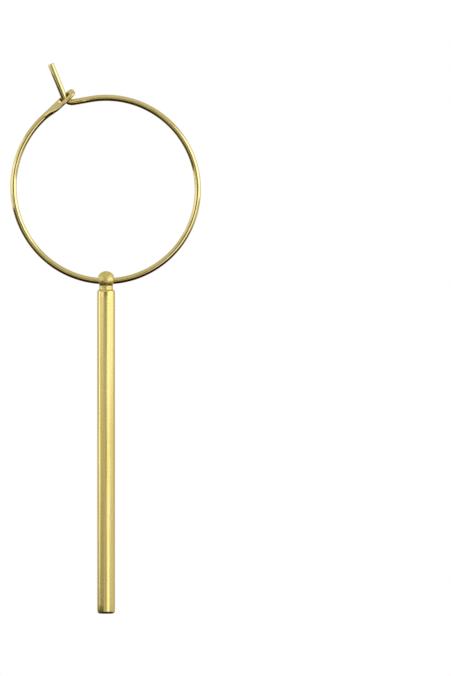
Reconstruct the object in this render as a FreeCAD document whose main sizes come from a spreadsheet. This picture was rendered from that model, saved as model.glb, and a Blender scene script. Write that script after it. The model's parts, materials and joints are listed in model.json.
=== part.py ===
# Bar earring: a round wire hoop that closes on itself, with a plain round bar hanging from its lowest point.
# Own frame in millimetres: +Z is up, the hoop lies in the XZ plane and its front is seen along +Y.
# The origin is the middle of the wire at the very top of the hoop, where the jewel hangs.

import FreeCAD, Part
import math
import os
import Sketcher

# Driving dimensions in millimetres and degrees, with what each one measures.
DIMENSIONS = {
    "wire_diameter": (0.70, "round wire of the hoop and its post"),
    "hoop_radius": (10.27, "middle of the wire round the bottom and the right side"),
    "spring_start": (45.0, "left of the bottom, where the hoop starts to open out"),
    "spring_radius": (10.65, "middle of the wire up the left side"),
    "spring_turn": (92.0, "turn of the left side's wider arc"),
    "lead_start": (10.0, "left of the top, where the right wire runs on straight"),
    "lead_length": (1.87, "straight run of the right wire into its bend"),
    "bend_radius": (1.0, "middle of the wire in the bend below the post"),
    "post_lean": (22.2, "lean of the post from upright"),
    "post_length": (3.95, "straight length of the post"),
    "post_rim": (0.09, "rounded rim of the post's cut end"),
    "eye_taper": (2.0, "length over which the left wire is hammered flat"),
    "eye_length": (4.55, "length of the left wire's flattened end"),
    "eye_drop": (0.10, "middle of the flat, inside the line of the round wire"),
    "eye_width": (1.80, "width of the flat"),
    "eye_thickness": (0.50, "thickness of the flat"),
    "eye_edge": (0.22, "rounding along the flat's outer edge"),
    "eye_tilt": (66.0, "turn of the flat about the wire, out of the hoop's plane"),
    "half_taper_width": (1.20, "width half way along the taper"),
    "half_taper_thickness": (0.59, "thickness half way along the taper"),
    "pierce_place": (3.10, "middle of the flat's hole, from the end of the round wire"),
    "pierce_width": (1.12, "width of the flat's hole"),
    "pierce_length": (1.60, "length of the flat's hole, along the wire"),
    "pierce_edge": (0.07, "rounding of the hole's two rims"),
    "rod_radius": (1.0, "round bar"),
    "ball_radius": (1.0, "rounded head of the bar"),
    "ball_above_bore": (0.20, "middle of the head above the middle of its bore"),
    "flat_place": (0.825, "flats on the head's two sides, from its middle"),
    "flat_radius": (0.65, "cutter that makes the flats"),
    "bore_radius": (0.475, "bore through the head for the wire"),
    "bore_below_wire": (0.072, "middle of the bore below the middle of the wire"),
    "neck_radius": (0.765, "turned neck between head and bar"),
    "shoulder_radius": (0.35, "rounded shoulder of the bar"),
    "shoulder_depth": (1.38, "full width of the bar, below the middle of the head"),
    "drop_depth": (37.36, "foot of the bar, below the middle of the head"),
    "foot_round": (0.30, "rounded corner of the foot"),
}

# An edge belongs to an outline if it lies this close to it.
NEAR = 1e-3

# Features that add material; the others take it away.
GROWING_FEATURES = (
    "PartDesign::AdditivePipe",
    "PartDesign::AdditiveLoft",
    "PartDesign::Pad",
    "PartDesign::Revolution",
)


def fill_sheet(doc):
    """Puts the driving dimensions in the document's sheet, one aliased cell each."""
    sheet = doc.addObject("Spreadsheet::Sheet", "sizes")
    for row, (alias, (value, meaning)) in enumerate(DIMENSIONS.items(), start=1):
        sheet.set(f"A{row}", alias)
        sheet.set(f"B{row}", str(value))
        sheet.set(f"C{row}", meaning)
        sheet.setAlias(f"B{row}", alias)
    doc.recompute()


def add_body(doc, name):
    body = doc.addObject("PartDesign::Body", name)
    body.Label = name
    body.Placement = FreeCAD.Placement()
    return body


def add_sketch(body, name, role, offset=None):
    """Adds a sketch on one of the body's own origin planes, moved by an expression if one is given."""
    sketch = body.newObject("Sketcher::SketchObject", name)
    planes = [plane for plane in body.Origin.OriginFeatures if plane.Role == role]
    sketch.AttachmentSupport = (planes[0], [""])
    sketch.MapMode = "FlatFace"
    if offset:
        sketch.setExpression("AttachmentOffset", offset)
    return sketch


def drive(sketch, kind, geometry, expression, value):
    """Adds a dimension to a sketch and binds it to the sheet."""
    index = sketch.addConstraint(Sketcher.Constraint(kind, *geometry, value))
    sketch.setExpression(f"Constraints[{index}]", expression)


def arc(centre_x, centre_y, radius, start, end):
    """Arc from start to end, anticlockwise, in degrees."""
    circle = Part.Circle(FreeCAD.Vector(centre_x, centre_y, 0), FreeCAD.Vector(0, 0, 1), radius)
    return Part.ArcOfCircle(circle, math.radians(start), math.radians(end))


def polar(centre_x, centre_y, radius, angle):
    """Point at a radius and an angle in degrees from a centre."""
    turn = math.radians(angle)
    return centre_x + radius * math.cos(turn), centre_y + radius * math.sin(turn)


def line(start, end):
    return Part.LineSegment(FreeCAD.Vector(*start, 0), FreeCAD.Vector(*end, 0))


def slot(sketch, length, width, size_length, size_width):
    """Draws a slot centred on the sketch's origin, its length along the sketch's x axis."""
    radius = size_width / 2
    reach = (size_length - size_width) / 2
    right = sketch.addGeometry(arc(reach, 0, radius, -90, 90))
    top = sketch.addGeometry(line((reach, radius), (-reach, radius)))
    left = sketch.addGeometry(arc(-reach, 0, radius, 90, 270))
    bottom = sketch.addGeometry(line((-reach, -radius), (reach, -radius)))
    for first, second in ((right, top), (top, left), (left, bottom), (bottom, right)):
        sketch.addConstraint(Sketcher.Constraint("Tangent", first, 2, second, 1))
    sketch.addConstraint(Sketcher.Constraint("Horizontal", top))
    sketch.addConstraint(Sketcher.Constraint("Equal", left, right))
    sketch.addConstraint(Sketcher.Constraint("Symmetric", left, 3, right, 3, -1, 1))
    drive(sketch, "DistanceX", (left, 3, right, 3), f"{length} - {width}", 2 * reach)
    drive(sketch, "Radius", (right,), f"{width} / 2", radius)


def eye_frame(station, drop="sizes.eye_drop", across=False):
    """Placement of a sketch on the flat at a distance from the end of the round wire.

    The drop is how far the sketch lies inside the line of that wire.

    Its x axis runs along the wire and its z axis out of the flat. Across the wire, its x axis
    runs over the flat's width and its y axis through the flat's thickness.
    """
    junction = "(270 - sizes.spring_start)"
    end = f"({junction} - sizes.spring_turn)"
    along = f"({end} - 90)"
    shift = "(sizes.hoop_radius - sizes.spring_radius)"
    reach = f"(sizes.spring_radius - {drop})"
    x = f"{shift} * cos{junction} + {reach} * cos{end} + {station} * cos{along}"
    y = f"{shift} * sin{junction} + {reach} * sin{end} + {station} * sin{along}"
    turn = f"rotation(vector(0; 0; 1); {along}) * rotation(vector(1; 0; 0); -sizes.eye_tilt)"
    if across:
        turn += " * rotation(vector(1; 1; 1); 120)"
    return f"placement(vector({x}; {y} - sizes.hoop_radius; 0); {turn})"


def rims(feature, wanted):
    """Names of the feature's edges whose middle point passes a test."""
    names = []
    for index, edge in enumerate(feature.Shape.Edges, start=1):
        if wanted(edge.valueAt((edge.FirstParameter + edge.LastParameter) / 2)):
            names.append(f"Edge{index}")
    return names


def hoop_left_path(body, size):
    """Middle line of the wire from the lowest point up the left side, which opens out a little."""
    sketch = add_sketch(body, "left_path", "XZ_Plane")
    centre = -size["hoop_radius"]
    junction = 270 - size["spring_start"]
    shift = polar(0, centre, size["hoop_radius"] - size["spring_radius"], junction)
    low = sketch.addGeometry(arc(0, centre, size["hoop_radius"], junction, 270))
    side = sketch.addGeometry(arc(*shift, size["spring_radius"], junction - size["spring_turn"], junction))
    sketch.addConstraint(Sketcher.Constraint("PointOnObject", low, 3, -2))
    sketch.addConstraint(Sketcher.Constraint("PointOnObject", low, 2, -2))
    sketch.addConstraint(Sketcher.Constraint("Tangent", low, 1, side, 2))
    drive(sketch, "DistanceY", (low, 3, -1, 1), "sizes.hoop_radius", size["hoop_radius"])
    drive(sketch, "Radius", (low,), "sizes.hoop_radius", size["hoop_radius"])
    drive(sketch, "Angle", (low,), "sizes.spring_start", math.radians(size["spring_start"]))
    drive(sketch, "Radius", (side,), "sizes.spring_radius", size["spring_radius"])
    drive(sketch, "Angle", (side,), "sizes.spring_turn", math.radians(size["spring_turn"]))
    return sketch


def hoop_right_path(body, size):
    """Middle line of the wire from the lowest point up the right side, over the top and up the post."""
    sketch = add_sketch(body, "right_path", "XZ_Plane")
    centre = -size["hoop_radius"]
    lead_angle = 90 + size["lead_start"]
    post_angle = 90 + size["post_lean"]
    lead_from = polar(0, centre, size["hoop_radius"], lead_angle)
    lead_to = polar(*lead_from, size["lead_length"], lead_angle + 90)
    bend_centre = polar(*lead_to, size["bend_radius"], lead_angle)
    post_from = polar(*bend_centre, size["bend_radius"], post_angle + 90)
    post_to = polar(*post_from, size["post_length"], post_angle)
    ring = sketch.addGeometry(arc(0, centre, size["hoop_radius"], -90, lead_angle))
    lead = sketch.addGeometry(line(lead_from, lead_to))
    bend = sketch.addGeometry(arc(*bend_centre, size["bend_radius"], post_angle + 90, lead_angle + 180))
    post = sketch.addGeometry(line(post_from, post_to))
    sketch.addConstraint(Sketcher.Constraint("PointOnObject", ring, 3, -2))
    sketch.addConstraint(Sketcher.Constraint("PointOnObject", ring, 1, -2))
    sketch.addConstraint(Sketcher.Constraint("Tangent", ring, 2, lead, 1))
    sketch.addConstraint(Sketcher.Constraint("Tangent", lead, 2, bend, 2))
    sketch.addConstraint(Sketcher.Constraint("Tangent", bend, 1, post, 1))
    drive(sketch, "DistanceY", (ring, 3, -1, 1), "sizes.hoop_radius", size["hoop_radius"])
    drive(sketch, "Radius", (ring,), "sizes.hoop_radius", size["hoop_radius"])
    drive(sketch, "Angle", (ring,), "180 + sizes.lead_start", math.radians(180 + size["lead_start"]))
    drive(sketch, "Distance", (lead,), "sizes.lead_length", size["lead_length"])
    drive(sketch, "Radius", (bend,), "sizes.bend_radius", size["bend_radius"])
    drive(sketch, "Distance", (post,), "sizes.post_length", size["post_length"])
    drive(sketch, "Angle", (post,), "90 + sizes.post_lean", math.radians(post_angle))
    return sketch


def wire_section(body, size):
    """Round section of the wire where it passes the lowest point of the hoop."""
    sketch = add_sketch(body, "wire_section", "YZ_Plane")
    middle = FreeCAD.Vector(0, -2 * size["hoop_radius"], 0)
    circle = sketch.addGeometry(Part.Circle(middle, FreeCAD.Vector(0, 0, 1), size["wire_diameter"] / 2))
    sketch.addConstraint(Sketcher.Constraint("PointOnObject", circle, 3, -2))
    drive(sketch, "DistanceY", (circle, 3, -1, 1), "2 * sizes.hoop_radius", 2 * size["hoop_radius"])
    drive(sketch, "Diameter", (circle,), "sizes.wire_diameter", size["wire_diameter"])
    return sketch


def sweep_wire(body, name, section, path):
    pipe = body.newObject("PartDesign::AdditivePipe", name)
    pipe.Profile = section
    pipe.Spine = (path, [f"Edge{index}" for index in range(1, len(path.Geometry) + 1)])
    return pipe


def taper_eye(body, size):
    """Hammered taper from the round wire to the flat."""
    start = add_sketch(body, "taper_start", "XZ_Plane", eye_frame("0", "0", across=True))
    circle = Part.Circle(FreeCAD.Vector(0, 0, 0), FreeCAD.Vector(0, 0, 1), size["wire_diameter"] / 2)
    round_end = start.addGeometry(circle)
    start.addConstraint(Sketcher.Constraint("Coincident", round_end, 3, -1, 1))
    drive(start, "Diameter", (round_end,), "sizes.wire_diameter", size["wire_diameter"])
    half = add_sketch(body, "taper_half", "XZ_Plane", eye_frame("sizes.eye_taper / 2", "sizes.eye_drop / 2", across=True))
    slot(half, "sizes.half_taper_width", "sizes.half_taper_thickness",
         size["half_taper_width"], size["half_taper_thickness"])
    full = add_sketch(body, "taper_end", "XZ_Plane", eye_frame("sizes.eye_taper", across=True))
    slot(full, "sizes.eye_width", "sizes.eye_thickness", size["eye_width"], size["eye_thickness"])
    loft = body.newObject("PartDesign::AdditiveLoft", "eye_taper")
    loft.Profile = start
    loft.Sections = [half, full]
    return loft


def flatten_eye(body, size):
    """Flat with a round tip, rounded along its outer edge."""
    outline = add_sketch(body, "flat_outline", "XZ_Plane", eye_frame("sizes.eye_taper"))
    half_width = size["eye_width"] / 2
    straight = size["eye_length"] - size["eye_taper"] - half_width
    near = outline.addGeometry(line((0, -half_width), (straight, -half_width)))
    tip = outline.addGeometry(arc(straight, 0, half_width, -90, 90))
    far = outline.addGeometry(line((straight, half_width), (0, half_width)))
    back = outline.addGeometry(line((0, half_width), (0, -half_width)))
    outline.addConstraint(Sketcher.Constraint("Tangent", near, 2, tip, 1))
    outline.addConstraint(Sketcher.Constraint("Tangent", tip, 2, far, 1))
    outline.addConstraint(Sketcher.Constraint("Coincident", far, 2, back, 1))
    outline.addConstraint(Sketcher.Constraint("Coincident", back, 2, near, 1))
    outline.addConstraint(Sketcher.Constraint("Horizontal", near))
    outline.addConstraint(Sketcher.Constraint("Vertical", back))
    outline.addConstraint(Sketcher.Constraint("Symmetric", back, 1, back, 2, -1, 1))
    drive(outline, "Radius", (tip,), "sizes.eye_width / 2", half_width)
    drive(outline, "Distance", (near,), "sizes.eye_length - sizes.eye_taper - sizes.eye_width / 2", straight)
    flat = body.newObject("PartDesign::Pad", "eye_flat")
    flat.Profile = outline
    flat.Midplane = True
    flat.Length = size["eye_thickness"]
    flat.setExpression("Length", "sizes.eye_thickness")
    return flat, outline


def round_eye_edge(body, size, flat, outline):
    """Rounds the flat's long edges and tip on both faces."""
    to_flat = outline.Placement.inverse()
    half_width = size["eye_width"] / 2
    half_thickness = size["eye_thickness"] / 2
    straight = size["eye_length"] - size["eye_taper"] - half_width

    def on_outer_edge(middle):
        place = to_flat.multVec(middle)
        on_face = abs(abs(place.z) - half_thickness) < NEAR
        beside = abs(abs(place.y) - half_width) < NEAR and NEAR < place.x < straight
        on_tip = abs(math.hypot(place.x - straight, place.y) - half_width) < NEAR
        return on_face and (beside or on_tip)

    edge_round = body.newObject("PartDesign::Fillet", "eye_edge")
    edge_round.Base = (flat, rims(flat, on_outer_edge))
    edge_round.Radius = size["eye_edge"]
    edge_round.setExpression("Radius", "sizes.eye_edge")
    return edge_round


def pierce_eye(body, size):
    """Long hole through the flat, which the post passes through."""
    outline = add_sketch(body, "pierce_outline", "XZ_Plane", eye_frame("sizes.pierce_place"))
    slot(outline, "sizes.pierce_length", "sizes.pierce_width", size["pierce_length"], size["pierce_width"])
    hole = body.newObject("PartDesign::Pocket", "eye_hole")
    hole.Profile = outline
    hole.Midplane = True
    hole.Length = 2 * size["eye_thickness"]
    hole.setExpression("Length", "2 * sizes.eye_thickness")
    return hole, outline


def round_hole_rims(body, size, hole, outline):
    """Takes the sharpness off the hole's rims on both faces."""
    to_hole = outline.Placement.inverse()
    reach = (size["pierce_length"] - size["pierce_width"]) / 2

    def on_rim(middle):
        place = to_hole.multVec(middle)
        off_axis = math.hypot(max(abs(place.x) - reach, 0), place.y)
        on_wall = abs(off_axis - size["pierce_width"] / 2) < NEAR
        return on_wall and abs(abs(place.z) - size["eye_thickness"] / 2) < NEAR

    rim = body.newObject("PartDesign::Fillet", "eye_hole_rims")
    rim.Base = (hole, rims(hole, on_rim))
    rim.Radius = size["pierce_edge"]
    rim.setExpression("Radius", "sizes.pierce_edge")
    return rim


def round_post_end(body, size, before, path):
    """Rounds the rim of the post's cut end, so that it goes through an ear without catching."""
    post = path.Geometry[-1]
    tip = path.Placement.multVec(post.EndPoint)

    def at_tip(middle):
        return abs((middle - tip).Length - size["wire_diameter"] / 2) < NEAR

    rim = body.newObject("PartDesign::Fillet", "post_end")
    rim.Base = (before, rims(before, at_tip))
    rim.Radius = size["post_rim"]
    rim.setExpression("Radius", "sizes.post_rim")
    return rim


def make_hoop_wire(doc, size):
    """The hoop, its post and its pierced flat end are one length of wire."""
    body = add_body(doc, "hoop_wire")
    left_path = hoop_left_path(body, size)
    right_path = hoop_right_path(body, size)
    section = wire_section(body, size)
    doc.recompute()
    sweep_wire(body, "left_side", section, left_path)
    taper_eye(body, size)
    flat, flat_outline = flatten_eye(body, size)
    doc.recompute()
    round_eye_edge(body, size, flat, flat_outline)
    doc.recompute()
    hole, hole_outline = pierce_eye(body, size)
    doc.recompute()
    round_hole_rims(body, size, hole, hole_outline)
    doc.recompute()
    right_side = sweep_wire(body, "right_side", section, right_path)
    doc.recompute()
    round_post_end(body, size, right_side, right_path)
    doc.recompute()
    return body


def bar_profile(body, size):
    """Half outline of the turned bar: round head, neck, shoulder, straight rod and rounded foot."""
    sketch = add_sketch(body, "bar_profile", "XZ_Plane")
    head = head_height(size)
    neck = size["neck_radius"]
    rod = size["rod_radius"]
    shoulder = size["shoulder_radius"]
    foot_round = size["foot_round"]
    neck_top = head - math.sqrt(size["ball_radius"] ** 2 - neck ** 2)
    shoulder_z = head - size["shoulder_depth"]
    shoulder_x = rod - shoulder
    shoulder_angle = math.degrees(math.acos((neck - shoulder_x) / shoulder))
    neck_foot = polar(shoulder_x, shoulder_z, shoulder, shoulder_angle)
    foot = head - size["drop_depth"]
    neck_angle = math.degrees(math.atan2(neck_top - head, neck))
    ball = sketch.addGeometry(arc(0, head, size["ball_radius"], neck_angle, 90))
    waist = sketch.addGeometry(line((neck, neck_top), neck_foot))
    turn = sketch.addGeometry(arc(shoulder_x, shoulder_z, shoulder, 0, shoulder_angle))
    side = sketch.addGeometry(line((rod, shoulder_z), (rod, foot + foot_round)))
    corner = sketch.addGeometry(arc(rod - foot_round, foot + foot_round, foot_round, -90, 0))
    base = sketch.addGeometry(line((rod - foot_round, foot), (0, foot)))
    axis = sketch.addGeometry(line((0, foot), (0, head + size["ball_radius"])))
    joins = ((ball, 1, waist, 1), (waist, 2, turn, 2), (base, 2, axis, 1), (axis, 2, ball, 2))
    for join in joins:
        sketch.addConstraint(Sketcher.Constraint("Coincident", *join))
    for blend in ((turn, 1, side, 1), (side, 2, corner, 2), (corner, 1, base, 1)):
        sketch.addConstraint(Sketcher.Constraint("Tangent", *blend))
    sketch.addConstraint(Sketcher.Constraint("PointOnObject", ball, 3, -2))
    sketch.addConstraint(Sketcher.Constraint("PointOnObject", axis, 1, -2))
    sketch.addConstraint(Sketcher.Constraint("Vertical", axis))
    sketch.addConstraint(Sketcher.Constraint("Vertical", waist))
    sketch.addConstraint(Sketcher.Constraint("Vertical", side))
    height = "(2 * sizes.hoop_radius + sizes.bore_below_wire - sizes.ball_above_bore)"
    drive(sketch, "DistanceY", (ball, 3, -1, 1), height, -head)
    drive(sketch, "Radius", (ball,), "sizes.ball_radius", size["ball_radius"])
    drive(sketch, "DistanceX", (-1, 1, waist, 1), "sizes.neck_radius", neck)
    drive(sketch, "DistanceX", (-1, 1, side, 1), "sizes.rod_radius", rod)
    drive(sketch, "Radius", (turn,), "sizes.shoulder_radius", shoulder)
    drive(sketch, "DistanceY", (turn, 3, ball, 3), "sizes.shoulder_depth", size["shoulder_depth"])
    drive(sketch, "DistanceY", (axis, 1, ball, 3), "sizes.drop_depth", size["drop_depth"])
    drive(sketch, "Radius", (corner,), "sizes.foot_round", foot_round)
    return sketch


def head_height(size):
    """Height of the middle of the bar's round head."""
    return -2 * size["hoop_radius"] - size["bore_below_wire"] + size["ball_above_bore"]


def spot_face(body, size):
    """Flat on the head where the wire goes in, and its twin where it comes out."""
    plane = "placement(vector(0; 0; sizes.flat_place); rotation(vector(0; 0; 1); 0))"
    sketch = add_sketch(body, "spot_disc", "YZ_Plane", plane)
    head = head_height(size)
    middle = FreeCAD.Vector(0, head, 0)
    disc = sketch.addGeometry(Part.Circle(middle, FreeCAD.Vector(0, 0, 1), size["flat_radius"]))
    sketch.addConstraint(Sketcher.Constraint("PointOnObject", disc, 3, -2))
    height = "2 * sizes.hoop_radius + sizes.bore_below_wire - sizes.ball_above_bore"
    drive(sketch, "DistanceY", (disc, 3, -1, 1), height, -head)
    drive(sketch, "Radius", (disc,), "sizes.flat_radius", size["flat_radius"])
    flat = body.newObject("PartDesign::Pocket", "spot_face")
    flat.Profile = sketch
    flat.Reversed = True
    flat.Length = size["ball_radius"]
    flat.setExpression("Length", "sizes.ball_radius")
    twin = body.newObject("PartDesign::Mirrored", "spot_face_twin")
    twin.Originals = [flat]
    twin.MirrorPlane = ([plane for plane in body.Origin.OriginFeatures if plane.Role == "YZ_Plane"][0], [""])
    body.Tip = twin
    return twin


def bore_head(body, size):
    """Bore from side to side through the head, wide enough for the bar to swing on the wire."""
    sketch = add_sketch(body, "bore_circle", "YZ_Plane")
    bore_height = -2 * size["hoop_radius"] - size["bore_below_wire"]
    middle = FreeCAD.Vector(0, bore_height, 0)
    circle = sketch.addGeometry(Part.Circle(middle, FreeCAD.Vector(0, 0, 1), size["bore_radius"]))
    sketch.addConstraint(Sketcher.Constraint("PointOnObject", circle, 3, -2))
    height = "2 * sizes.hoop_radius + sizes.bore_below_wire"
    drive(sketch, "DistanceY", (circle, 3, -1, 1), height, -bore_height)
    drive(sketch, "Radius", (circle,), "sizes.bore_radius", size["bore_radius"])
    bore = body.newObject("PartDesign::Pocket", "head_bore")
    bore.Profile = sketch
    bore.Midplane = True
    bore.Length = 4 * size["ball_radius"]
    bore.setExpression("Length", "4 * sizes.ball_radius")
    return bore


def make_bar_drop(doc, size):
    """The bar and its round head are turned from one rod."""
    body = add_body(doc, "bar_drop")
    profile = bar_profile(body, size)
    doc.recompute()
    turned = body.newObject("PartDesign::Revolution", "turned_bar")
    turned.Profile = profile
    turned.ReferenceAxis = (profile, ["V_Axis"])
    turned.Angle = 360
    doc.recompute()
    spot_face(body, size)
    doc.recompute()
    bore_head(body, size)
    doc.recompute()
    return body


def check_document(doc, bodies):
    """Stops before anything is written if an object or a shape has failed."""
    for item in doc.Objects:
        if {"Invalid", "Error"} & set(item.State):
            raise RuntimeError(f"{item.Name} failed: {item.State}")
    for body in bodies:
        shape = body.Shape
        if shape.isNull() or not shape.isValid() or len(shape.Solids) != 1:
            raise RuntimeError(f"{body.Label} isn't one valid solid")


def check_cuts(bodies):
    """Each cut must take something away and each addition must add."""
    for body in bodies:
        volume = 0.0
        for feature in body.Group:
            if feature.TypeId == "Sketcher::SketchObject":
                continue
            change = feature.Shape.Volume - volume
            volume = feature.Shape.Volume
            grows = feature.TypeId in GROWING_FEATURES
            if (change > 0) != grows:
                raise RuntimeError(f"{feature.Name} changed the volume by {change:.4f} cubic mm")
            print(f"{body.Label} {feature.Name}: {change:+.4f} cubic mm")


def write_parts(bodies):
    os.makedirs("parts", exist_ok=True)
    for body in bodies:
        body.Shape.exportStep(f"parts/{body.Label}.step")
        box = body.Shape.optimalBoundingBox()
        extents = f"{box.XLength:.2f} x {box.YLength:.2f} x {box.ZLength:.2f} mm"
        print(f"{body.Label}: {body.Shape.Volume:.3f} cubic mm, {extents}")


def main():
    doc = FreeCAD.newDocument("bar_earring")
    fill_sheet(doc)
    size = {alias: value for alias, (value, meaning) in DIMENSIONS.items()}
    bodies = [make_hoop_wire(doc, size), make_bar_drop(doc, size)]
    check_document(doc, bodies)
    check_cuts(bodies)
    write_parts(bodies)


main()
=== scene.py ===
import json
import math

import bpy
from mathutils import Matrix, Vector


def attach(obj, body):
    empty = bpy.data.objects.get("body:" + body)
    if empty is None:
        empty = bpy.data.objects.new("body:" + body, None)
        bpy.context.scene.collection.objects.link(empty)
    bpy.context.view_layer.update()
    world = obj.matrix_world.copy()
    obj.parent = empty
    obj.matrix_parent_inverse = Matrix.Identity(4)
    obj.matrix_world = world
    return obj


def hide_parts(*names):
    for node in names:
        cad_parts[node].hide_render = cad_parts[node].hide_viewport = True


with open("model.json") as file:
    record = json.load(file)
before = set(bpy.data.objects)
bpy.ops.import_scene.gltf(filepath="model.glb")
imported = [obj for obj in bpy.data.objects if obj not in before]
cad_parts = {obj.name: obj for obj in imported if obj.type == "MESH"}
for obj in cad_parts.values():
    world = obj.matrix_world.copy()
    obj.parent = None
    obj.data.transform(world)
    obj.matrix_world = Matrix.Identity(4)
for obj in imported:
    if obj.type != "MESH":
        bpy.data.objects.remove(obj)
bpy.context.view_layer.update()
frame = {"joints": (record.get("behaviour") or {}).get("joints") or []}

# Camera: level and straight on, with a long lens, as catalogue pictures of jewels are taken.
# One pixel of the 451 by 676 picture is 0.112 mm wide at the jewel, and the hoop's middle falls
# on the pixel given, left of and above the middle of the picture.
MM = 0.001
picture_width = 451
picture_height = 676
pixel = 0.112 * MM
hoop_middle_pixel = (106.1, 189.5)
camera_distance = 1.0
wire_bottom = Vector(frame["joints"][0]["pos_m"])
hoop_middle = wire_bottom / 2
camera_data = bpy.data.cameras.new("camera")
camera = bpy.data.objects.new("camera", camera_data)
bpy.context.scene.collection.objects.link(camera)
bpy.context.scene.camera = camera
camera.location = (
    hoop_middle.x + (picture_width / 2 - hoop_middle_pixel[0]) * pixel,
    -camera_distance,
    hoop_middle.z + (hoop_middle_pixel[1] - picture_height / 2) * pixel,
)
camera.rotation_euler = (math.pi / 2, 0, 0)
camera_data.sensor_width = 36.0
camera_data.lens = camera_data.sensor_width * camera_distance / (picture_height * pixel)
camera_data.clip_end = 10.0
bpy.context.scene.view_settings.view_transform = "Standard"

# Tent: a round studio tent of white paper, floor, wall and ceiling in one sweep, with the jewel
# hung in its middle. Only the camera sees it; the metal mirrors the lamps and cards inside it.
tent_radius = 1.6
tent_floor = -1.4
tent_ceiling = 1.5
tent_sides = 96
tent_sweep = 0.5
tent_sweep_steps = 12
# Painted shade: the floor glows dimmer than the wall, up to the height where the paper turns evenly pale.
tent_pale_from = -0.3
tent_floor_painted_shade = 0.84
tent_wall_shade = 1.0


def clear_selection():
    """Leaves edit mode and selects nothing."""
    if bpy.context.object and bpy.context.object.mode != "OBJECT":
        bpy.ops.object.mode_set(mode="OBJECT")
    bpy.ops.object.select_all(action="DESELECT")


def settle(piece):
    """Leaves edit mode and puts the piece's place into its mesh."""
    clear_selection()
    piece.select_set(True)
    bpy.context.view_layer.objects.active = piece
    bpy.ops.object.transform_apply(location=True, rotation=True, scale=True)


def hide_from(thing, *rays):
    """Keeps a thing of the studio out of some kinds of rays."""
    for ray in rays:
        setattr(thing, f"visible_{ray}", False)


clear_selection()
bpy.ops.mesh.primitive_cylinder_add(vertices=tent_sides, radius=tent_radius,
                                    depth=tent_ceiling - tent_floor,
                                    location=(0, 0, (tent_ceiling + tent_floor) / 2))
tent = bpy.context.object
tent.name = "studio_tent"
settle(tent)
sweep = tent.modifiers.new("sweep", "BEVEL")
sweep.width = tent_sweep
sweep.segments = tent_sweep_steps
sweep.limit_method = "ANGLE"
bpy.ops.object.modifier_apply(modifier=sweep.name)
bpy.ops.object.shade_smooth()
paper = bpy.data.materials.new("tent_paper")
paper.use_nodes = True
paper_nodes = paper.node_tree.nodes
paper_links = paper.node_tree.links
paper_shader = paper_nodes["Principled BSDF"]
paper_shader.inputs["Base Color"].default_value = (0, 0, 0, 1)
paper_shader.inputs["Specular IOR Level"].default_value = 0.0
paper_shader.inputs["Emission Strength"].default_value = 1.0
# The paper glows instead of being lit: evenly white on the wall, with painted shade darkening it towards
# the floor.
paper_place = paper_nodes.new("ShaderNodeTexCoord")
paper_height = paper_nodes.new("ShaderNodeSeparateXYZ")
paper_shade = paper_nodes.new("ShaderNodeMapRange")
paper_shade.inputs["From Min"].default_value = tent_floor
paper_shade.inputs["From Max"].default_value = tent_pale_from
paper_shade.inputs["To Min"].default_value = tent_floor_painted_shade
paper_shade.inputs["To Max"].default_value = tent_wall_shade
paper_links.new(paper_place.outputs["Object"], paper_height.inputs["Vector"])
paper_links.new(paper_height.outputs["Z"], paper_shade.inputs["Value"])
paper_links.new(paper_shade.outputs["Result"], paper_shader.inputs["Emission Color"])
tent.data.materials.append(paper)
hide_from(tent, "diffuse", "glossy", "transmission", "shadow")

# Room: what the metal mirrors between the lamps. It is mid grey from the horizon up and nearly
# black below it, with a darker patch where the camera stands.
room_shades = (
    (-0.62, (0.030, 0.011, 0.002)),
    (-0.46, (0.17, 0.15, 0.12)),
    (-0.26, (0.56, 0.54, 0.51)),
    (0.60, (0.58, 0.56, 0.52)),
)
camera_patch_edge = math.radians(16)
camera_patch_core = math.radians(4)
camera_patch_turn = math.radians(-4)
camera_patch_shade = 0.85
room = bpy.data.worlds.new("studio_room")
bpy.context.scene.world = room
room.use_nodes = True
room_nodes = room.node_tree.nodes
room_links = room.node_tree.links
outward_ray = room_nodes.new("ShaderNodeTexCoord")
ray_parts = room_nodes.new("ShaderNodeSeparateXYZ")
ray_height = room_nodes.new("ShaderNodeMapRange")
ray_height.inputs["From Min"].default_value = -1.0
ray_height.inputs["From Max"].default_value = 1.0
room_ramp = room_nodes.new("ShaderNodeValToRGB")
while len(room_ramp.color_ramp.elements) < len(room_shades):
    room_ramp.color_ramp.elements.new(1.0)
for element, (sine, colour) in zip(room_ramp.color_ramp.elements, room_shades):
    element.position = (sine + 1) / 2
    element.color = (*colour, 1)
camera_side = room_nodes.new("ShaderNodeVectorMath")
camera_side.operation = "DOT_PRODUCT"
camera_side.inputs[1].default_value = (math.sin(camera_patch_turn), -math.cos(camera_patch_turn), 0)
camera_patch = room_nodes.new("ShaderNodeMapRange")
camera_patch.interpolation_type = "SMOOTHSTEP"
camera_patch.inputs["From Min"].default_value = math.cos(camera_patch_edge)
camera_patch.inputs["From Max"].default_value = math.cos(camera_patch_core)
camera_patch.inputs["To Min"].default_value = 1.0
camera_patch.inputs["To Max"].default_value = camera_patch_shade
room_shade = room_nodes.new("ShaderNodeVectorMath")
room_shade.operation = "SCALE"
room_links.new(outward_ray.outputs["Generated"], ray_parts.inputs["Vector"])
room_links.new(outward_ray.outputs["Generated"], camera_side.inputs[0])
room_links.new(ray_parts.outputs["Z"], ray_height.inputs["Value"])
room_links.new(ray_height.outputs["Result"], room_ramp.inputs["Fac"])
room_links.new(camera_side.outputs["Value"], camera_patch.inputs["Value"])
room_links.new(room_ramp.outputs["Color"], room_shade.inputs[0])
room_links.new(camera_patch.outputs["Result"], room_shade.inputs["Scale"])
room_links.new(room_shade.outputs["Vector"], room_nodes["Background"].inputs["Color"])

# Softboxes: upright lamps behind white cloth, two to the left and two to the right. The lower
# edges of one on each side stand level with the bar, so the bar is brighter towards its top.
softbox_colour = (0.95, 1.0, 1.22)


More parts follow.
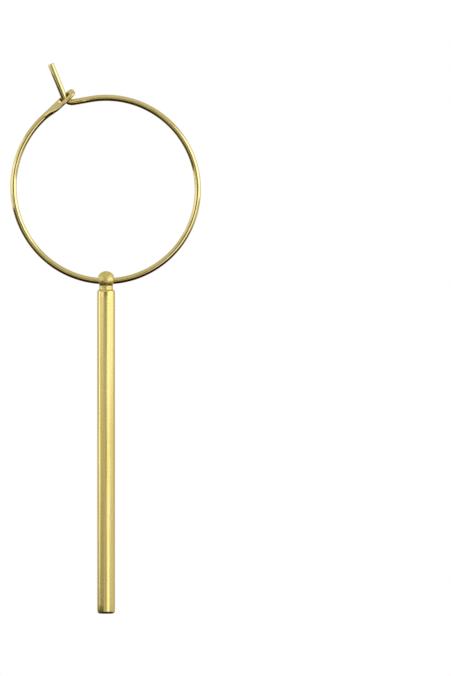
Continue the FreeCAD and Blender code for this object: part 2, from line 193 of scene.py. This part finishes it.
def add_softbox(name, turn, distance, wide, low, high, radiance):
    """Hangs a softbox, turned from the camera's side towards the viewer's right."""
    light = bpy.data.lights.new(name, "AREA")
    light.shape = "RECTANGLE"
    light.size = wide
    light.size_y = high - low
    light.energy = radiance * math.pi * light.size * light.size_y
    light.color = softbox_colour
    lamp = bpy.data.objects.new(name, light)
    bpy.context.scene.collection.objects.link(lamp)
    lamp.location = (distance * math.sin(turn), -distance * math.cos(turn), (low + high) / 2)
    lamp.rotation_euler = (math.pi / 2, 0, turn)
    hide_from(lamp, "camera")


add_softbox("softbox_front_right", math.radians(27), 0.50, 0.27, -0.29, 0.17, 0.72)
add_softbox("softbox_right", math.radians(72), 0.35, 0.45, -0.038, 0.26, 0.88)
add_softbox("softbox_left", math.radians(-93), 0.35, 0.15, -0.11, 0.20, 0.80)
add_softbox("softbox_front_left", math.radians(-50), 0.35, 0.21, -0.022, 0.08, 0.66)

# Black cards: one round the lens, above the bar's own line of sight, draws the dark line down the
# hoop's sides. One low on the left darkens what faces down and left.
card_glow_material = bpy.data.materials.new("black_card_with_painted_glow")
card_glow_material.use_nodes = True
card_glow_shader = card_glow_material.node_tree.nodes["Principled BSDF"]
card_glow_shader.inputs["Base Color"].default_value = (0, 0, 0, 1)
card_glow_shader.inputs["Specular IOR Level"].default_value = 0.0
# The black cards glow faintly warm: painted light that stands in for the room's light falling on them.
card_glow_shader.inputs["Emission Color"].default_value = (1.0, 0.9, 0.7, 1)
card_glow_shader.inputs["Emission Strength"].default_value = 0.07


def add_black_card(name, middle, turn, wide, high):
    """Stands a black card, turned from facing the camera's side towards the viewer's right."""
    clear_selection()
    bpy.ops.mesh.primitive_plane_add(size=1, location=middle, rotation=(math.pi / 2, 0, turn))
    card = bpy.context.object
    card.name = name
    card.scale = (wide, high, 1)
    settle(card)
    card.data.materials.append(card_glow_material)
    hide_from(card, "camera", "diffuse", "transmission", "shadow")


add_black_card("black_card_lens", (-0.01, -0.30, 0.028), 0, 0.26, 0.074)
add_black_card("black_card_low_left", (-0.28, -0.15, -0.225), math.pi / 2, 0.70, 0.32)

# Hoop wire: one length of drawn brass wire, gold plated, bent into a hoop that opens out a little
# up its left side. Its left end is hammered flat and pierced, and its right end is bent up into a
# post that goes through the hole.
wire_radius = 0.35 * MM
wire_sides = 48
bend_step = math.radians(1.5)
bend_steps_least = 6
hoop_radius = hoop_middle.z - wire_bottom.z
spring_start = math.radians(45)
spring_radius = 10.65 * MM
spring_turn = math.radians(92)
lead_start = math.radians(10)
lead_length = 1.87 * MM
bend_radius = 1.0 * MM
post_lean = math.radians(22.2)
post_length = 3.95 * MM
post_rim = 0.09 * MM
post_rim_steps = 4
eye_taper = 2.0 * MM
eye_length = 4.55 * MM
eye_half_width = 0.90 * MM
eye_half_thickness = 0.25 * MM
eye_drop = 0.10 * MM
eye_tilt = math.radians(66)
taper_steps = 16
tip_steps = 14
tip_point = 0.02 * MM
pierce_place = 3.10 * MM
pierce_half_width = 0.56 * MM
pierce_half_length = 0.80 * MM
pierce_sides = 64
pierce_rim = 0.07 * MM
rim_steps = 3
nearly = 0.001 * MM
soft_turn = math.radians(35)


def select_where(piece, wanted):
    """Opens a piece in edit mode with the vertices selected whose place passes the test."""
    bpy.context.view_layer.objects.active = piece
    bpy.ops.object.mode_set(mode="EDIT")
    bpy.ops.mesh.select_mode(type="VERT")
    bpy.ops.mesh.select_all(action="DESELECT")
    bpy.ops.object.mode_set(mode="OBJECT")
    for vertex in piece.data.vertices:
        vertex.select = wanted(vertex.co)
    bpy.ops.object.mode_set(mode="EDIT")


def draw_ring_on(travel):
    """Draws the selected ring on in a straight line."""
    bpy.ops.mesh.extrude_region_move(TRANSFORM_OT_translate={"value": travel})


def bend_ring_on(middle, turn):
    """Draws the selected ring round a middle, anticlockwise for the viewer if the turn is positive."""
    steps = max(bend_steps_least, round(abs(turn) / bend_step))
    bpy.ops.mesh.spin(steps=steps, angle=turn, center=middle, axis=(0, 1, 0))


def cut_away(piece, tool):
    """Cuts a tool's shape out of a piece and removes the tool."""
    clear_selection()
    bpy.context.view_layer.objects.active = piece
    cut = piece.modifiers.new("cut", "BOOLEAN")
    cut.operation = "DIFFERENCE"
    cut.solver = "EXACT"
    cut.object = tool
    bpy.ops.object.modifier_apply(modifier=cut.name)
    bpy.data.objects.remove(tool)


def finish_shell(piece):
    """Closes seams, turns the faces outwards and shades the soft turns smooth."""
    select_where(piece, lambda spot: True)
    bpy.ops.mesh.remove_doubles(threshold=nearly / 2)
    bpy.ops.mesh.normals_make_consistent(inside=False)
    settle(piece)
    bpy.ops.object.shade_smooth_by_angle(angle=soft_turn)


# The flat end is shaped lying along X with its face up, ring by ring: each ring is spread sideways
# and then pressed flat on both faces. After a taper it is as wide as the eye, and its tip is round.
flat_rings = []
for step in range(1, taper_steps + 1):
    share = step / taper_steps
    ease = share * share * (3 - 2 * share)
    half_width = wire_radius + (eye_half_width - wire_radius) * ease
    half_thickness = wire_radius + (eye_half_thickness - wire_radius) * ease
    flat_rings.append((eye_taper * share, ease, half_width, half_thickness))
for step in range(tip_steps + 1):
    swing = math.pi / 2 * step / tip_steps
    place = eye_length - eye_half_width * (1 - math.sin(swing))
    half_width = max(eye_half_width * math.cos(swing), tip_point)
    inset = max(0.0, eye_half_thickness - (eye_length - place))
    half_thickness = max(math.sqrt(eye_half_thickness ** 2 - inset ** 2), tip_point)
    flat_rings.append((place, 1.0, half_width, half_thickness))

clear_selection()
bpy.ops.mesh.primitive_circle_add(vertices=wire_sides, radius=wire_radius, fill_type="NGON",
                                  location=(0, 0, 0), rotation=(0, math.pi / 2, 0))
wire = bpy.context.object
wire.name = "hoop_wire_plated"
settle(wire)
select_where(wire, lambda spot: True)
drop_side = Vector((0, -math.cos(eye_tilt), -math.sin(eye_tilt)))
middle = Vector((0, 0, 0))
last_width = wire_radius
for place, ease, half_width, half_thickness in flat_rings:
    last_middle = middle
    middle = Vector((place, 0, 0)) + drop_side * eye_drop * ease
    draw_ring_on(middle - last_middle)
    bpy.ops.transform.resize(value=(1, half_width / last_width, 1), center_override=middle)
    for side in (1, -1):
        select_where(wire, lambda spot: abs(spot.x - place) < nearly
                     and (spot.z - middle.z) * side > half_thickness)
        face_middle = middle + Vector((0, 0, side * half_thickness))
        bpy.ops.transform.resize(value=(1, 1, 0), center_override=face_middle)
    select_where(wire, lambda spot: abs(spot.x - place) < nearly)
    last_width = half_width

# A punch with round ends takes the long hole out of it, and the hole's two rims are rounded.
clear_selection()
bpy.ops.mesh.primitive_cylinder_add(vertices=pierce_sides, radius=pierce_half_width,
                                    depth=wire_radius * 4, location=(0, 0, 0))
punch = bpy.context.object
settle(punch)
for side in (1, -1):
    select_where(punch, lambda spot: spot.x * side > nearly)
    bpy.ops.transform.translate(value=(side * (pierce_half_length - pierce_half_width), 0, 0))
bpy.ops.mesh.select_all(action="SELECT")
bpy.ops.transform.translate(value=(pierce_place, middle.y, middle.z))
cut_away(wire, punch)


def on_pierced_edge(spot):
    """Whether a vertex lies on the outline of the long hole."""
    past_straight = max(0.0, abs(spot.x - pierce_place) - (pierce_half_length - pierce_half_width))
    return abs(math.hypot(past_straight, spot.y - middle.y) - pierce_half_width) < nearly


for side in (1, -1):
    select_where(wire, lambda spot: (spot.z - middle.z) * side > 0 and on_pierced_edge(spot))
    bpy.ops.mesh.bevel(offset=pierce_rim, segments=rim_steps, affect="EDGES", clamp_overlap=False)


def toward(angle):
    """Direction in the hoop's plane, the angle counted anticlockwise from the viewer's right."""
    return Vector((math.cos(angle), 0, math.sin(angle)))


# The pierced end is turned to its place at the top of the hoop's left side.
spring_from = math.radians(270) - spring_start
spring_middle = hoop_middle + toward(spring_from) * (hoop_radius - spring_radius)
eye_start = spring_middle + toward(spring_from - spring_turn) * spring_radius
along = toward(math.pi - spring_start - spring_turn)
outward = toward(1.5 * math.pi - spring_start - spring_turn)
away = Vector((0, 1, 0))
across = outward * math.cos(eye_tilt) + away * math.sin(eye_tilt)
face = outward * math.sin(eye_tilt) - away * math.cos(eye_tilt)
wire.matrix_world = Matrix.Translation(eye_start) @ Matrix((along, across, face)).transposed().to_4x4()
settle(wire)


def on_start_ring(spot):
    """Whether a vertex lies where the round wire begins."""
    return abs((spot - eye_start).dot(along)) < nearly


# From there the round wire runs down the left side, round the bottom and up the right side, and
# over the top into its bend and post.
select_where(wire, on_start_ring)
bpy.ops.mesh.delete(type="ONLY_FACE")
select_where(wire, on_start_ring)
bend_ring_on(spring_middle, spring_turn)
bend_ring_on(hoop_middle, spring_start + math.pi + lead_start)
lead_direction = toward(math.pi + lead_start)
draw_ring_on(lead_direction * lead_length)
lead_side = toward(math.pi / 2 + lead_start)
bend_middle = hoop_middle + lead_side * (hoop_radius + bend_radius) + lead_direction * lead_length
bend_ring_on(bend_middle, post_lean - math.pi / 2 - lead_start)
post_direction = toward(math.pi / 2 + post_lean)
post_top = bend_middle - toward(post_lean) * bend_radius + post_direction * (post_length - post_rim)
draw_ring_on(post_direction * (post_length - post_rim))
last_rise = 0.0
last_radius = wire_radius
for step in range(1, post_rim_steps + 1):
    swing = math.pi / 2 * step / post_rim_steps
    rise = post_rim * math.sin(swing)
    radius = wire_radius - post_rim * (1 - math.cos(swing))
    draw_ring_on(post_direction * (rise - last_rise))
    ring_middle = post_top + post_direction * rise
    shrink = radius / last_radius
    bpy.ops.transform.resize(value=(shrink, shrink, shrink), center_override=ring_middle)
    last_rise = rise
    last_radius = radius
bpy.ops.mesh.edge_face_add()
finish_shell(wire)


def add_node(tree, kind, **inputs):
    """Adds a node and sets its inputs by name, with _ for a space."""
    node = tree.nodes.new(kind)
    for name, value in inputs.items():
        node.inputs[name.replace("_", " ")].default_value = value
    return node


def graded(tree, value, low, high):
    """Spreads a noise value over a range."""
    node = add_node(tree, "ShaderNodeMapRange", From_Min=0.3, From_Max=0.7, To_Min=low, To_Max=high)
    tree.links.new(value, node.inputs["Value"])
    return node.outputs["Result"]


def tinted(tree, share, first, second):
    """Mixes two colours of the plate."""
    node = tree.nodes.new("ShaderNodeMix")
    node.data_type = "RGBA"
    node.inputs["A"].default_value = (*first, 1)
    node.inputs["B"].default_value = (*second, 1)
    tree.links.new(share, node.inputs["Factor"])
    return node.outputs["Result"]


def summed(tree, first, second):
    """Adds two values."""
    node = tree.nodes.new("ShaderNodeMath")
    tree.links.new(first, node.inputs[0])
    tree.links.new(second, node.inputs[1])
    return node.outputs["Value"]


def multiplied(tree, first, second):
    """Multiplies two values."""
    node = tree.nodes.new("ShaderNodeMath")
    node.operation = "MULTIPLY"
    tree.links.new(first, node.inputs[0])
    tree.links.new(second, node.inputs[1])
    return node.outputs["Value"]


def raised(tree, height, depth):
    """Turns a height from 0 to 1 into relief of a depth in metres."""
    node = add_node(tree, "ShaderNodeBump", Distance=depth)
    tree.links.new(height, node.inputs["Height"])
    return node.outputs["Normal"]


def make_drawing_marks():
    """Marks of the drawing die: lines along Z of the vector, longer waves, and an even grain."""
    group = bpy.data.node_groups.new("drawing_marks", "ShaderNodeTree")
    group.interface.new_socket("Vector", in_out="INPUT", socket_type="NodeSocketVector")
    for name in ("Fineness", "Shortness"):
        group.interface.new_socket(name, in_out="INPUT", socket_type="NodeSocketFloat")
    for name in ("Lines", "Waves", "Grain"):
        group.interface.new_socket(name, in_out="OUTPUT", socket_type="NodeSocketFloat")
    entry = group.nodes.new("NodeGroupInput")
    outlet = group.nodes.new("NodeGroupOutput")
    squeeze = add_node(group, "ShaderNodeCombineXYZ", X=1.0, Y=1.0)
    group.links.new(entry.outputs["Shortness"], squeeze.inputs["Z"])
    stretched = group.nodes.new("ShaderNodeVectorMath")
    stretched.operation = "MULTIPLY"
    group.links.new(entry.outputs["Vector"], stretched.inputs[0])
    group.links.new(squeeze.outputs["Vector"], stretched.inputs[1])
    for name, share, detail, vector in (
        ("Lines", 1.0, 3.0, stretched.outputs["Vector"]),
        ("Waves", 0.35, 1.0, stretched.outputs["Vector"]),
        ("Grain", 3.0, 2.0, entry.outputs["Vector"]),
    ):
        scale = group.nodes.new("ShaderNodeMath")
        scale.operation = "MULTIPLY"
        scale.inputs[1].default_value = share
        noise = add_node(group, "ShaderNodeTexNoise", Detail=detail, Roughness=0.6)
        group.links.new(entry.outputs["Fineness"], scale.inputs[0])
        group.links.new(scale.outputs["Value"], noise.inputs["Scale"])
        group.links.new(vector, noise.inputs["Vector"])
        group.links.new(noise.outputs["Fac"], outlet.inputs[name])
    return group


# Finish of the wire: bright plate over the die's marks, which run round the hoop with the wire, so
# the pattern is unrolled to distance from the hoop's middle, depth, and length along the hoop. On
# the post it is turned to the post's lean. The flat end keeps the shallow dents of the hammer.
post_from = hoop_radius + 0.45 * MM
post_skin = 0.42 * MM
hammered_middle = eye_start + along * pierce_place
hammered_reach = 2.9 * MM
hammered_full = 1.9 * MM
dent_fineness = 1400.0
dent_share = 16.0
wire_relief = 0.009 * MM
drawing_marks = make_drawing_marks()
wire_plate = bpy.data.materials.new("gold_wire_plate")
wire_plate.use_nodes = True
tree = wire_plate.node_tree
shader = tree.nodes["Principled BSDF"]
shader.inputs["Metallic"].default_value = 1.0
place = tree.nodes.new("ShaderNodeTexCoord")
centred = add_node(tree, "ShaderNodeMapping", Location=-hoop_middle)
tree.links.new(place.outputs["Object"], centred.inputs["Vector"])
parts = tree.nodes.new("ShaderNodeSeparateXYZ")
tree.links.new(centred.outputs["Vector"], parts.inputs["Vector"])
spoke = tree.nodes.new("ShaderNodeCombineXYZ")
tree.links.new(parts.outputs["X"], spoke.inputs["X"])
tree.links.new(parts.outputs["Z"], spoke.inputs["Z"])
reach = tree.nodes.new("ShaderNodeVectorMath")
reach.operation = "LENGTH"
tree.links.new(spoke.outputs["Vector"], reach.inputs[0])
turn = tree.nodes.new("ShaderNodeMath")
turn.operation = "ARCTAN2"
tree.links.new(parts.outputs["X"], turn.inputs[0])
tree.links.new(parts.outputs["Z"], turn.inputs[1])
girth = tree.nodes.new("ShaderNodeMath")
girth.operation = "MULTIPLY"
girth.inputs[1].default_value = hoop_radius
tree.links.new(turn.outputs["Value"], girth.inputs[0])
unrolled = tree.nodes.new("ShaderNodeCombineXYZ")
tree.links.new(reach.outputs["Value"], unrolled.inputs["X"])
tree.links.new(parts.outputs["Y"], unrolled.inputs["Y"])
tree.links.new(girth.outputs["Value"], unrolled.inputs["Z"])
marks = tree.nodes.new("ShaderNodeGroup")
marks.node_tree = drawing_marks
marks.inputs["Fineness"].default_value = 5000.0
marks.inputs["Shortness"].default_value = 0.14
leaning = add_node(tree, "ShaderNodeMapping", Rotation=(0, post_lean, 0))
tree.links.new(place.outputs["Object"], leaning.inputs["Vector"])
beyond_hoop = add_node(tree, "ShaderNodeMapRange", From_Min=post_from, From_Max=post_from + nearly)
tree.links.new(reach.outputs["Value"], beyond_hoop.inputs["Value"])
from_top = tree.nodes.new("ShaderNodeVectorMath")
from_top.operation = "SUBTRACT"
from_top.inputs[1].default_value = post_top
tree.links.new(place.outputs["Object"], from_top.inputs[0])
off_axis = tree.nodes.new("ShaderNodeVectorMath")
off_axis.operation = "CROSS_PRODUCT"
off_axis.inputs[1].default_value = post_direction
tree.links.new(from_top.outputs["Vector"], off_axis.inputs[0])
axis_distance = tree.nodes.new("ShaderNodeVectorMath")
axis_distance.operation = "LENGTH"
tree.links.new(off_axis.outputs["Vector"], axis_distance.inputs[0])
near_axis = add_node(tree, "ShaderNodeMapRange", From_Min=post_skin + nearly, From_Max=post_skin)
tree.links.new(axis_distance.outputs["Value"], near_axis.inputs["Value"])
on_post = multiplied(tree, beyond_hoop.outputs["Result"], near_axis.outputs["Result"])
along_wire = tree.nodes.new("ShaderNodeMix")
along_wire.data_type = "VECTOR"
tree.links.new(on_post, along_wire.inputs["Factor"])
tree.links.new(unrolled.outputs["Vector"], along_wire.inputs["A"])
tree.links.new(leaning.outputs["Vector"], along_wire.inputs["B"])
tree.links.new(along_wire.outputs["Result"], marks.inputs["Vector"])
plate_colour = tinted(tree, marks.outputs["Waves"], (0.83, 0.68, 0.22), (0.97, 0.85, 0.42))
tree.links.new(plate_colour, shader.inputs["Base Color"])
tree.links.new(graded(tree, marks.outputs["Grain"], 0.07, 0.16), shader.inputs["Roughness"])
die_relief = summed(tree, marks.outputs["Lines"], marks.outputs["Waves"])
dents = add_node(tree, "ShaderNodeTexNoise", Scale=dent_fineness, Detail=0.0)
tree.links.new(place.outputs["Object"], dents.inputs["Vector"])
from_eye = tree.nodes.new("ShaderNodeVectorMath")
from_eye.operation = "DISTANCE"
from_eye.inputs[1].default_value = hammered_middle
tree.links.new(place.outputs["Object"], from_eye.inputs[0])
on_eye = add_node(tree, "ShaderNodeMapRange", From_Min=hammered_reach, From_Max=hammered_full,
                  To_Max=dent_share)
tree.links.new(from_eye.outputs["Value"], on_eye.inputs["Value"])
off_post = add_node(tree, "ShaderNodeMapRange", From_Min=1.0, From_Max=0.0)
tree.links.new(on_post, off_post.inputs["Value"])
dented = multiplied(tree, dents.outputs["Fac"], on_eye.outputs["Result"])
dented = multiplied(tree, dented, off_post.outputs["Result"])
relief = summed(tree, die_relief, dented)
tree.links.new(raised(tree, relief, wire_relief), shader.inputs["Normal"])
wire.data.materials.append(wire_plate)
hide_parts("hoop_wire")
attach(wire, "hoop")

# Bar drop: a brass rod turned on a lathe to a ball, a neck and a rounded foot, spot-faced and
# cross-drilled through the ball for the hoop's wire, and gold plated. It hangs loose on the wire.
rod_radius = 1.0 * MM
rod_sides = 96
rod_rings = 48
ball_radius = 1.0 * MM
bore_radius = 0.475 * MM
bore_rim = 0.05 * MM
bore_sides = 72
bore_place = wire_bottom.z - 0.072 * MM
ball_place = bore_place + 0.20 * MM
flat_place = 0.825 * MM
flat_radius = 0.65 * MM
neck_radius = 0.765 * MM
shoulder_radius = 0.35 * MM
shoulder_place = ball_place - 1.38 * MM
foot_place = ball_place - 37.36 * MM
foot_round = 0.30 * MM
round_steps = 8
ball_steps = 28
crown_gap = math.radians(2)


def arc_rings(middle_height, middle_radius, radius, start, stop, steps):
    """Heights and radii of rings along an arc of the profile, its angles counted up from level."""
    rings = []
    for step in range(steps + 1):
        swing = start + (stop - start) * step / steps
        rings.append((middle_height + radius * math.sin(swing), middle_radius + radius * math.cos(swing)))
    return rings


rod_from = foot_place + foot_round
profile = arc_rings(rod_from, rod_radius - foot_round, foot_round, -math.pi / 2, 0, round_steps)
for step in range(1, rod_rings):
    profile.append((rod_from + (shoulder_place - rod_from) * step / rod_rings, rod_radius))
neck_turn = math.acos((neck_radius - rod_radius + shoulder_radius) / shoulder_radius)
profile += arc_rings(shoulder_place, rod_radius - shoulder_radius, shoulder_radius, 0, neck_turn,
                     round_steps)
ball_turn = math.acos(neck_radius / ball_radius)
profile += arc_rings(ball_place, 0, ball_radius, -ball_turn, math.pi / 2 - crown_gap, ball_steps)

clear_selection()
bpy.ops.mesh.primitive_circle_add(vertices=rod_sides, radius=profile[0][1], fill_type="NGON",
                                  location=(wire_bottom.x, wire_bottom.y, profile[0][0]))
bar = bpy.context.object
bar.name = "bar_drop_plated"
settle(bar)
select_where(bar, lambda spot: True)
for (low, low_radius), (high, high_radius) in zip(profile, profile[1:]):
    draw_ring_on((0, 0, high - low))
    ring_middle = (wire_bottom.x, wire_bottom.y, high)
    spread = high_radius / low_radius
    bpy.ops.transform.resize(value=(spread, spread, 1), center_override=ring_middle)


def cross_tool(radius, start, stop):
    """A round cutter lying along X at the height of the bore."""
    clear_selection()
    bpy.ops.mesh.primitive_cylinder_add(vertices=bore_sides, radius=radius, depth=stop - start,
                                        location=((start + stop) / 2, wire_bottom.y, bore_place),
                                        rotation=(0, math.pi / 2, 0))
    tool = bpy.context.object
    settle(tool)
    return tool


# The ball gets a flat on either side and a bore from flat to flat, whose rims are rounded.
clear_of_ball = 2 * ball_radius
cut_away(bar, cross_tool(flat_radius, flat_place, clear_of_ball))
cut_away(bar, cross_tool(flat_radius, -clear_of_ball, -flat_place))
cut_away(bar, cross_tool(bore_radius, -clear_of_ball, clear_of_ball))
for side in (1, -1):
    select_where(bar, lambda spot: spot.x * side > neck_radius / 2
                 and abs(math.hypot(spot.y, spot.z - bore_place) - bore_radius) < nearly)
    bpy.ops.mesh.bevel(offset=bore_rim, segments=rim_steps, affect="EDGES", clamp_overlap=False)
finish_shell(bar)

# Finish of the bar: softer plate than the wire's, with long lines down the rod and a dull, pitted
# ball that the polishing wheel hasn't reached.
grain_from = bore_place - 0.8 * MM
grain_full = bore_place - 0.4 * MM
ball_dullness = 0.16
pit_share = 1.8
rod_relief = 0.016 * MM
bar_plate = bpy.data.materials.new("gold_bar_plate")
bar_plate.use_nodes = True
tree = bar_plate.node_tree
shader = tree.nodes["Principled BSDF"]
shader.inputs["Metallic"].default_value = 1.0
place = tree.nodes.new("ShaderNodeTexCoord")
parts = tree.nodes.new("ShaderNodeSeparateXYZ")
tree.links.new(place.outputs["Object"], parts.inputs["Vector"])
marks = tree.nodes.new("ShaderNodeGroup")
marks.node_tree = drawing_marks
marks.inputs["Fineness"].default_value = 3500.0
marks.inputs["Shortness"].default_value = 0.02
tree.links.new(place.outputs["Object"], marks.inputs["Vector"])
streaks = graded(tree, marks.outputs["Lines"], 0.0, 1.0)
plate_colour = tinted(tree, streaks, (0.82, 0.64, 0.18), (0.98, 0.86, 0.36))
tree.links.new(plate_colour, shader.inputs["Base Color"])
dullness = add_node(tree, "ShaderNodeMapRange", From_Min=grain_from, From_Max=grain_full,
                    To_Max=ball_dullness)
tree.links.new(parts.outputs["Z"], dullness.inputs["Value"])
rod_roughness = graded(tree, marks.outputs["Grain"], 0.17, 0.23)
tree.links.new(summed(tree, rod_roughness, dullness.outputs["Result"]), shader.inputs["Roughness"])
pit_depth = add_node(tree, "ShaderNodeMapRange", From_Min=grain_from, From_Max=grain_full,
                     To_Max=pit_share)
tree.links.new(parts.outputs["Z"], pit_depth.inputs["Value"])
pits = multiplied(tree, marks.outputs["Grain"], pit_depth.outputs["Result"])
relief = summed(tree, marks.outputs["Lines"], marks.outputs["Waves"])
relief = summed(tree, relief, pits)
tree.links.new(raised(tree, relief, rod_relief), shader.inputs["Normal"])
bar.data.materials.append(bar_plate)
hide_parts("bar_drop")
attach(bar, "drop")
